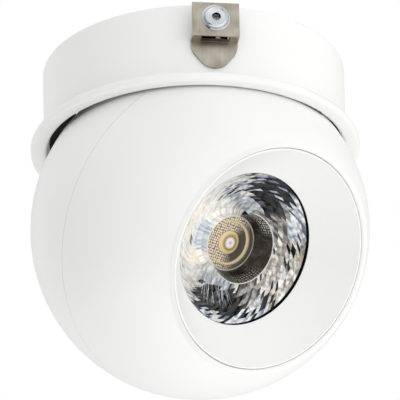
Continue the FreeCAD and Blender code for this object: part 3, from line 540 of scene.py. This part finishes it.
# Radius and height of the bowl's rim and foot, and how far its wall bulges between them.
BOWL_RIM, BOWL_FOOT = (18.75, 18.05), (8.8, 10.5)
BOWL_BULGE = (0.6, -0.8)
PILLAR = [(8.0, 10.2), (6.85, 10.6), (6.8, 13.0)]
ON_RING = 0.01
FACET_WOBBLE = 0.09
# Each ring's order starts this many radians before azimuth 0, where no ring has a corner.
ORDER_START = 0.02


def bowl_point(row):
    """Radius and height of a ring of the bowl."""
    share = row / FACET_ROWS
    bulge = 4 * share * (1 - share)
    return tuple(rim + (foot - rim) * share + out * bulge
                 for rim, foot, out in zip(BOWL_RIM, BOWL_FOOT, BOWL_BULGE))


def drawing_order(row, place):
    """What to sort by, so that each run draws the same random numbers for the same place."""
    return row, round((math.atan2(place.y, place.x) + ORDER_START) % FULL_TURN, 3)


bowl_outline = [bowl_point(row) for row in range(FACET_ROWS + 1)] + PILLAR
bowl = lathe(bowl_outline, FACETS_ROUND)
row_of = {}
for row, (radius, height) in enumerate(bowl_outline):
    ring = [v for v in bowl.verts
            if abs(v.co.z - height) < ON_RING and abs(v.co.xy.length - radius) < ON_RING]
    row_of.update((v, row) for v in ring)
    turned = Matrix.Rotation(SWIRL * min(row, FACET_ROWS) / FACET_ROWS, 3, "Z")
    bmesh.ops.rotate(bowl, cent=(0, 0, 0), matrix=turned, verts=ring)
chance = random.Random(8)
for v in sorted(bowl.verts, key=lambda v: drawing_order(row_of[v], v.co)):
    if 0 < row_of[v] < FACET_ROWS:
        v.co += Vector([chance.uniform(-FACET_WOBBLE, FACET_WOBBLE) for axis in range(3)])
lay_flat(bowl, per_turn=True)
print("bowl:", len(bowl.verts), "corners in", len(bowl_outline), "rings")

# %% The facets' painted reflections and hairs
# The middle of the painted white hairs and half their spread, in degrees, and the shares where they fade in.
HAIR_AZIMUTH, HAIR_HALF_TURN = -86, 26
HAIR_SHARES = (0.35, 0.65)


def hairiness(azimuth, share):
    """How much of the fine white hairs of painted reflection shows, 0 to 1, at that azimuth and share of the wall.
    """
    offset = (azimuth - HAIR_AZIMUTH + 180) % 360 - 180
    across = max(0.0, 1 - abs(offset) / HAIR_HALF_TURN)
    depth = (share - HAIR_SHARES[0]) / (HAIR_SHARES[1] - HAIR_SHARES[0])
    return min(1.0, 2 * across) * min(1.0, max(0.0, depth))


# Each facet's painted reflection, with the share of painted hairs in its alpha.
reflection_colours = bowl.loops.layers.float_color.new("facet_reflection")
middles = {face: face.calc_center_median() for face in bowl.faces}
rows = {face: sum(row_of[v] for v in face.verts) / len(face.verts) for face in bowl.faces}
for face in sorted(bowl.faces, key=lambda face: drawing_order(rows[face], middles[face])):
    azimuth = math.degrees(math.atan2(middles[face].y, middles[face].x))
    share = rows[face] / FACET_ROWS
    red, green, blue, _ = srgb(reflection_colour(azimuth, share, chance))
    for loop in face.loops:
        loop[reflection_colours] = (red, green, blue, hairiness(azimuth, share))
bmesh.ops.triangulate(bowl, faces=bowl.faces, quad_method="SHORT_EDGE")
bowl_object = piece(bowl, "lens_facets", mirror, "ball", LENS_FRAME, smooth_angle=0)
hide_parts("lens")

# %% [markdown]
# The well's floor is a stack of rings like a small target: a raised ring with rows of tiny domes, a
# step down to a second ring, and a dome over the light source in the middle. The tiny domes are under
# a millimetre apart, so they are a pattern of round cells, each with a painted highlight in its
# middle, and the fine rings are a colour ramp over the distance from the axis, with painted
# highlights on the crests and the middle dome and painted shade on the steps. The right half of the
# rings is painted brown, a painted reflection of the dark holder, so the domes there sink into brown
# and show only on the left.

# %% The floor's finish
DOME_MM, DOME_DEPTH_MM = 0.62, 0.2
FLOOR_RADIUS = 6.8
# The painted reflection of the dark holder on the rings' right side: its side, its fade and colour.
SHADED_SIDE, SHADED_FROM = (0.95, -0.1, 0), 0.6
SHADE = "4b463c"
# Colours of the rings, with their painted highlights and painted shade, and where the rows of domes
# lie (white), by share of the floor's radius.
RINGS = [(0.00, "8f8aa8"), (0.05, "d9d2e6"), (0.13, "f6f1ee"), (0.19, "d8c6a8"), (0.245, "86714f"),
         (0.29, "c9a866"), (0.35, "f4d892"), (0.405, "fbe9bf"), (0.44, "564d42"), (0.755, "e6c98c"),
         (0.79, "fbecc8"), (0.82, "5b5348"), (0.945, "8b7d68"), (1.00, "fdf8ec")]
DOME_BANDS = [(0.0, "000000"), (0.44, "ffffff"), (0.74, "000000"), (0.815, "ffffff"), (0.95, "000000")]
# Each dome: a painted highlight in its middle, painted shade towards its edge.
DOMES = [(0.12, "f7ecd6"), (0.34, "dfcbad"), (0.5, "8a7966"), (0.62, "5f5348")]

floor_finish, tree, shader = new_finish("dotted_acrylic_floor", Roughness=0.2, Coat_Weight=0.5,
                                        Coat_Roughness=0.05)
on_floor = add_node(tree, "UVMap", uv_map="UVMap")
from_axis = add_node(tree, "VectorMath", {0: on_floor}, operation="LENGTH").outputs["Value"]
radius_share = add_node(tree, "Math", {0: from_axis, 1: FLOOR_RADIUS}, operation="DIVIDE")
rings = add_node(tree, "ValToRGB", {0: radius_share}, stops=RINGS)
bands = add_node(tree, "ValToRGB", {0: radius_share}, stops=DOME_BANDS)
bands.color_ramp.interpolation = "CONSTANT"
cells = add_node(tree, "TexVoronoi", {"Vector": on_floor, "Scale": 1 / DOME_MM, "Randomness": 0.35},
                 voronoi_dimensions="2D")
domes = add_node(tree, "ValToRGB", {0: cells}, stops=DOMES)
rightward = add_node(tree, "VectorMath", {0: on_floor, 1: SHADED_SIDE}, operation="DOT_PRODUCT")
cosine = add_node(tree, "Math", {0: rightward.outputs["Value"], 1: from_axis}, operation="DIVIDE")
shaded = add_node(tree, "MapRange", {"Value": cosine, "From Min": 0.0, "From Max": SHADED_FROM})
band_colour = add_node(tree, "Mix", {"Factor": shaded, UNDER: domes, OVER: srgb(SHADE)},
                       data_type="RGBA").outputs[MIXED]
floor_colour = add_node(tree, "Mix", {"Factor": bands, UNDER: rings, OVER: band_colour},
                        data_type="RGBA").outputs[MIXED]
bump = add_node(tree, "Bump", {"Height": cells, "Strength": 0.5, "Distance": -DOME_DEPTH_MM * MM})
connect(tree, shader, {"Base Color": floor_colour, "Normal": bump})
print("finish:", floor_finish.name)

# %% The floor
FLOOR_STEPS = 72
FLOOR_OUTLINE = [(FLOOR_RADIUS, 13.0), (6.6, 13.08), (5.55, 12.95), (5.25, 12.2), (5.0, 12.2),
                 (3.1, 12.1), (2.8, 12.2), (2.65, 12.4), (2.2, 12.65), (1.4, 12.85), (0.0, 12.9)]
target = lathe(FLOOR_OUTLINE, FLOOR_STEPS)
lay_flat(target)
target_object = piece(target, "lens_floor", floor_finish, "ball", LENS_FRAME)

# %% [markdown]
# The far side of the well shows the dark holder through its wall, speckled by the domes. Only that
# side is made, as an opaque shell that carries a painted view of the dark holder and painted
# speckles of the lit domes; on the near side the wall is clear and can't be seen. The wall is an open
# shell, so a stretch of a spin makes it, and cells and blots in its own turns and millimetres stand
# for the domes and the holder.

# %% The well's shaded wall
WALL_START, WALL_TURN = math.radians(-112), math.radians(206)
WALL_STEPS = 48
WALL_OUTLINE = [(8.6, 18.4), (8.2, 16.9), (7.3, 14.1), (6.85, 13.05)]
SPECKLES_PER_TURN, SPECKLES_PER_MM = 72, 1.5
BLOTS_PER_TURN, BLOTS_PER_MM = 30, 0.5
# The painted view of the dark holder, and the painted speckles of the lit domes.
BLOTS = [(0.38, "0b0b0c"), (0.5, "232322"), (0.66, "403f3b")]
SPECKLES = [(0.2, "e6e2d8"), (0.42, "1d1c1a")]
# The speckles fade in over these turns from azimuth 0, and over these heights.
UPPER_FADE_TURNS, LOWER_FADE_TURNS = (0.09, 0.13), (-0.05, -0.1)
UPPER_SPECKLES, LOWER_SPECKLES = 0.9, 0.35
SPECKLE_FADE_HEIGHTS = (15.0, 16.6)

wall_finish, tree, shader = new_finish("painted_see_through_wall", Roughness=0.22, Coat_Weight=0.3)
on_wall = add_node(tree, "UVMap", uv_map="UVMap")
speckle_place = add_node(tree, "Mapping", {"Vector": on_wall,
                                           "Scale": (SPECKLES_PER_TURN, SPECKLES_PER_MM, 1)})
cells = add_node(tree, "TexVoronoi", {"Vector": speckle_place, "Scale": 1.0, "Randomness": 0.3},
                 voronoi_dimensions="2D")
blot_place = add_node(tree, "Mapping", {"Vector": on_wall, "Scale": (BLOTS_PER_TURN, BLOTS_PER_MM, 1)})
blots = add_node(tree, "TexNoise", {"Vector": blot_place, "Scale": 1.0, "Detail": 3.0})
holder = add_node(tree, "ValToRGB", {0: blots}, stops=BLOTS)
speckles = add_node(tree, "ValToRGB", {0: cells}, stops=SPECKLES)
axes = add_node(tree, "SeparateXYZ", {0: on_wall}).outputs
upper = add_node(tree, "MapRange", {"Value": axes["X"], "From Min": UPPER_FADE_TURNS[0],
                                    "From Max": UPPER_FADE_TURNS[1], "To Max": UPPER_SPECKLES})
lower = add_node(tree, "MapRange", {"Value": axes["X"], "From Min": LOWER_FADE_TURNS[0],
                                    "From Max": LOWER_FADE_TURNS[1], "To Max": LOWER_SPECKLES})
either = add_node(tree, "Math", {0: upper, 1: lower}, operation="ADD")
high = add_node(tree, "MapRange", {"Value": axes["Y"], "From Min": SPECKLE_FADE_HEIGHTS[0],
                                   "From Max": SPECKLE_FADE_HEIGHTS[1]})
weight = add_node(tree, "Math", {0: either, 1: high}, operation="MULTIPLY")
wall_colour = add_node(tree, "Mix", {"Factor": weight, UNDER: holder, OVER: speckles},
                       data_type="RGBA").outputs[MIXED]
connect(tree, shader, {"Base Color": wall_colour})
wall = lathe(WALL_OUTLINE, WALL_STEPS, WALL_START, WALL_TURN)
lay_flat(wall, per_turn=True)
wall_object = piece(wall, "lens_well_wall", wall_finish, "ball", LENS_FRAME)

# %% [markdown]
# The rim of the well is polished, and its thin bright line is a painted glint: a pale ring. A matt
# black ring lines the bezel where the lens is dropped in and draws the dark edge round the facets: a
# painted shadow of the gap between lens and bezel. Both are narrow turned rings, so a plain finish is
# enough: they are under a millimetre wide.

# %% The well's mouth with its painted glint, and the black ring of painted shadow
MOUTH_OUTLINE = [(8.6, 18.4), (8.62, 18.56), (8.78, 18.56), (8.8, 18.4)]
# The black ring of painted shadow: its radii, its foot and its top.
LIP_OUTER, LIP_INNER = 18.72, 18.66
LIP_FOOT, LIP_TOP = BOWL_RIM[1], 19.1
LIP_STEPS = 96
LIP_OUTLINE = [(LIP_OUTER, LIP_FOOT), (LIP_OUTER, LIP_TOP), (LIP_INNER, LIP_TOP),
               (LIP_INNER, LIP_FOOT), (LIP_OUTER, LIP_FOOT)]
# A painted glint: the pale colour stands for the rim's bright line.
glint = new_finish("painted_glint_acrylic_edge", Base_Color=srgb("dfe3e4"), Roughness=0.1)[0]
mouth = lathe(MOUTH_OUTLINE, WALL_STEPS, WALL_START, WALL_TURN)
mouth_object = piece(mouth, "lens_well_mouth", glint, "ball", LENS_FRAME)
# A painted shadow: the black ring stands for the dark gap between lens and bezel.
matt_black = new_finish("matt_black_shadow_gap", Base_Color=srgb("050506"), Roughness=0.9,
                        Specular_IOR_Level=0.1)[0]
shadow_gap_ring = lathe(LIP_OUTLINE, LIP_STEPS)
shadow_gap_object = piece(shadow_gap_ring, "lens_black_shadow_gap", matt_black, "ball", LENS_FRAME)

# %% [markdown]
# A blind rivet's head is pressed from sheet: a flat rim, a bright rounded shoulder, a flat disc in
# the middle and the drilled hole where the mandrel broke off. It is turned from one outline and laid
# on each clip.

# %% Rivets
CLIP_FACE = 40.85
RIVET_HEIGHT = 13.7
RIVET_STEPS = 48
HOLE, SHANK_END = 1.02, -7.0
# Both are (radius, height over the clip's face): up the shank, then over the head and down the hole.
TAIL = [(HOLE, SHANK_END), (2.2, SHANK_END), (2.4, -6.6), (2.4, -5.53), (1.6, -5.53), (1.6, 0.0)]
HEAD = [(3.4, 0.0), (3.4, 0.2), (3.28, 0.3), (3.1, 0.25), (3.02, 0.2), (2.98, 0.45), (2.88, 0.72),
        (2.72, 0.94), (2.5, 1.08), (2.32, 1.1), (2.22, 1.0), (2.1, 0.96), (1.2, 0.94), (1.06, 0.85),
        (HOLE, 0.7), (HOLE, SHANK_END)]
rivets = lathe(TAIL + HEAD, RIVET_STEPS)
on_clip = (
    Matrix.Rotation(CLIP_AZIMUTH, 4, "Z")
    @ Matrix.Translation((0, -CLIP_FACE, RIVET_HEIGHT))
    @ Matrix.Rotation(math.radians(90), 4, "X")
)
bmesh.ops.transform(rivets, matrix=on_clip, verts=rivets.verts)
copy = bmesh.ops.duplicate(rivets, geom=rivets.verts[:] + rivets.edges[:] + rivets.faces[:])
far_side = [item for item in copy["geom"] if isinstance(item, bmesh.types.BMVert)]
bmesh.ops.rotate(rivets, cent=(0, 0, 0), matrix=Matrix.Rotation(math.pi, 3, "Z"), verts=far_side)
rivet_pair = piece(rivets, "stepped_rivets", rivet_metal, "root", SHRINK, smooth_angle=40)
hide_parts("clip_rivets")

# %% [markdown]
# The camera stands where the photographer stood: low, to the left of the lens, and far off with a
# long lens. Its place is given by two angles and a distance from a point near the tilt axis, and two
# small angles then aim it, because the object doesn't sit quite in the middle of the photo.

# %% Camera
CAMERA_ROUND = Vector((-0.18, -1.062, -23.096)) * MM
CAMERA_DISTANCE = 1600 * MM
CAMERA_TURN = math.radians(-42.2)
CAMERA_RISE = math.radians(-25.45)
CAMERA_ROLL = math.radians(-1.37)
AIM_RIGHT = math.tan(math.radians(0.01))
AIM_UP = math.tan(math.radians(0.25))
FOCAL_PIXELS, PHOTO_PIXELS = 6625, 400
SENSOR = 36.0
NEAREST, FARTHEST = 0.01, 20

forward = Vector((0, math.cos(CAMERA_RISE), -math.sin(CAMERA_RISE)))
right = Vector((1, 0, 0))
eye = -CAMERA_DISTANCE * forward
aim = (forward + AIM_RIGHT * right + AIM_UP * right.cross(forward)).normalized()
level = aim.cross(Vector((0, 0, 1))).normalized()
upward = level.cross(aim)
rolled_right = math.cos(CAMERA_ROLL) * level + math.sin(CAMERA_ROLL) * upward
rolled_up = math.cos(CAMERA_ROLL) * upward - math.sin(CAMERA_ROLL) * level
axes = Matrix((rolled_right, rolled_up, -aim)).transposed().to_4x4()
camera = bpy.data.objects.new("camera", bpy.data.cameras.new("camera"))
bpy.context.scene.collection.objects.link(camera)
camera.matrix_world = (
    Matrix.Translation(CAMERA_ROUND) @ Matrix.Rotation(CAMERA_TURN, 4, "Z")
    @ Matrix.Translation(eye) @ axes
)
camera.data.sensor_width = SENSOR
camera.data.lens = FOCAL_PIXELS / PHOTO_PIXELS * SENSOR
camera.data.clip_start = NEAREST
camera.data.clip_end = FARTHEST
bpy.context.scene.camera = camera
print("camera at", [round(value, 3) for value in camera.matrix_world.translation])

# %% [markdown]
# A white product picture is lit by a white room. The world is pure white where the camera sees it,
# and for the light it is a soft studio: big soft panels all round, brightest on the right, and two
# black cards. One card takes some light from the left, for the soft grey there, and a narrow one
# gives the rivet something dark to mirror. A panel is a direction, how narrow it is and how bright.
# Its light falls off as a power of the cosine, which is smooth, so no panel leaves an edge on the
# paint. A studio is laid out from behind the camera, so the directions are given in its three axes
# and turned into the room's.

# %% Panels and cards
# Each panel: direction as (right, up, toward the camera), power and strength. A negative strength
# is a black card.
PANELS = [
    ((0, 0, 1), 2, 0.81),  # the camera's side
    ((0, 0, -1), 2, 0.53),  # behind the lamp
    ((-1, 0, 0), 2, 0.40),  # left
    ((1, 0, 0), 2, 0.96),  # right, the main light
    ((0, 1, 0), 2, 0.84),  # above
    ((0, -1, 0), 2, 0.74),  # below
    ((1, 0, 1), 6, 0.50),  # front right
    ((0, 1, 1), 6, 0.27),  # front, above
    ((0, -1, -1), 6, 0.15),  # back, below
    ((-1, 0, -1), 6, 0.53),  # back left, which lights the ball's left edge
    ((-1, 0, -1), 16, 0.36),  # the same panel's brighter middle
    ((-0.723, 0.626, -0.29), 16, 0.46),  # upper left, for the collar
    ((-0.958, 0, -0.288), 16, -0.20),  # card on the left
]
RIVET_CARD = (-0.5, -0.25, 0.83)
# Half the angle that the rivet's card fills, its soft edge, and the light that is left on it.
CARD_WIDTH, CARD_SOFTNESS = math.radians(17), math.radians(4)
CARD_LIGHT = 0.02


def in_room(direction):
    """That direction of the panels' list as a unit vector of the room."""
    seen_from = Matrix((right, right.cross(forward), -forward)).transposed()
    return (Matrix.Rotation(CAMERA_TURN, 3, "Z") @ seen_from @ Vector(direction)).normalized()


print("the main light comes from", [round(value, 2) for value in in_room(PANELS[3][0])])

# %% Studio
bpy.context.scene.view_settings.view_transform = "Standard"
world = bpy.data.worlds.new("studio")
bpy.context.scene.world = world
world.use_nodes = True
tree = world.node_tree
tree.nodes.clear()
sky = add_node(tree, "TexCoord").outputs["Generated"]
light = 0.0
for direction, power, strength in PANELS:
    cosine = add_node(tree, "VectorMath", {0: sky, 1: in_room(direction)}, operation="DOT_PRODUCT")
    facing = add_node(tree, "Math", {0: cosine.outputs["Value"], 1: 0.0}, operation="MAXIMUM")
    lobe = add_node(tree, "Math", {0: facing, 1: power}, operation="POWER")
    light = add_node(tree, "Math", {0: lobe, 1: strength, 2: light}, operation="MULTIPLY_ADD")
light = add_node(tree, "Math", {0: light, 1: 0.0}, operation="MAXIMUM")
cosine = add_node(tree, "VectorMath", {0: sky, 1: in_room(RIVET_CARD)}, operation="DOT_PRODUCT")
past_card = add_node(tree, "MapRange", {"Value": cosine.outputs["Value"],
                                        "From Min": math.cos(CARD_WIDTH + CARD_SOFTNESS),
                                        "From Max": math.cos(CARD_WIDTH),
                                        "To Min": 1.0, "To Max": CARD_LIGHT})
glow = add_node(tree, "Math", {0: light, 1: past_card}, operation="MULTIPLY")
white = srgb("ffffff")
lit = add_node(tree, "Background", {"Color": white, "Strength": glow})
seen = add_node(tree, "Background", {"Color": white, "Strength": 1.0})
camera_ray = add_node(tree, "LightPath").outputs["Is Camera Ray"]
chosen = add_node(tree, "MixShader", {0: camera_ray, 1: lit, 2: seen})
add_node(tree, "OutputWorld", {0: chosen})
print("studio:", len(PANELS), "panels and cards, and the rivet's card")

# %% [markdown]
# The lamp hangs, so the floor lies far below it, out of the picture. It is a plain pale sheet that
# sends some light up under the ball.

# %% Floor
STAGE_DROP, STAGE_HALF_SIDE = 2.7, 3.0
STAGE_GLOW = 0.35
floor_mesh = bmesh.new()
bmesh.ops.create_grid(floor_mesh, x_segments=1, y_segments=1, size=STAGE_HALF_SIDE)
bmesh.ops.translate(floor_mesh, vec=(0, 0, -STAGE_DROP), verts=floor_mesh.verts)
floor_data = bpy.data.meshes.new("floor")
floor_mesh.to_mesh(floor_data)
floor_mesh.free()
floor_paint = new_finish("pale_floor_paint", Base_Color=srgb("f8f8f6"), Roughness=0.7,
                         Emission_Color=white, Emission_Strength=STAGE_GLOW)[0]
floor_data.materials.append(floor_paint)
floor = bpy.data.objects.new("floor", floor_data)
bpy.context.scene.collection.objects.link(floor)
print("floor:", 2 * STAGE_HALF_SIDE, "m wide,", STAGE_DROP, "m below the ceiling")
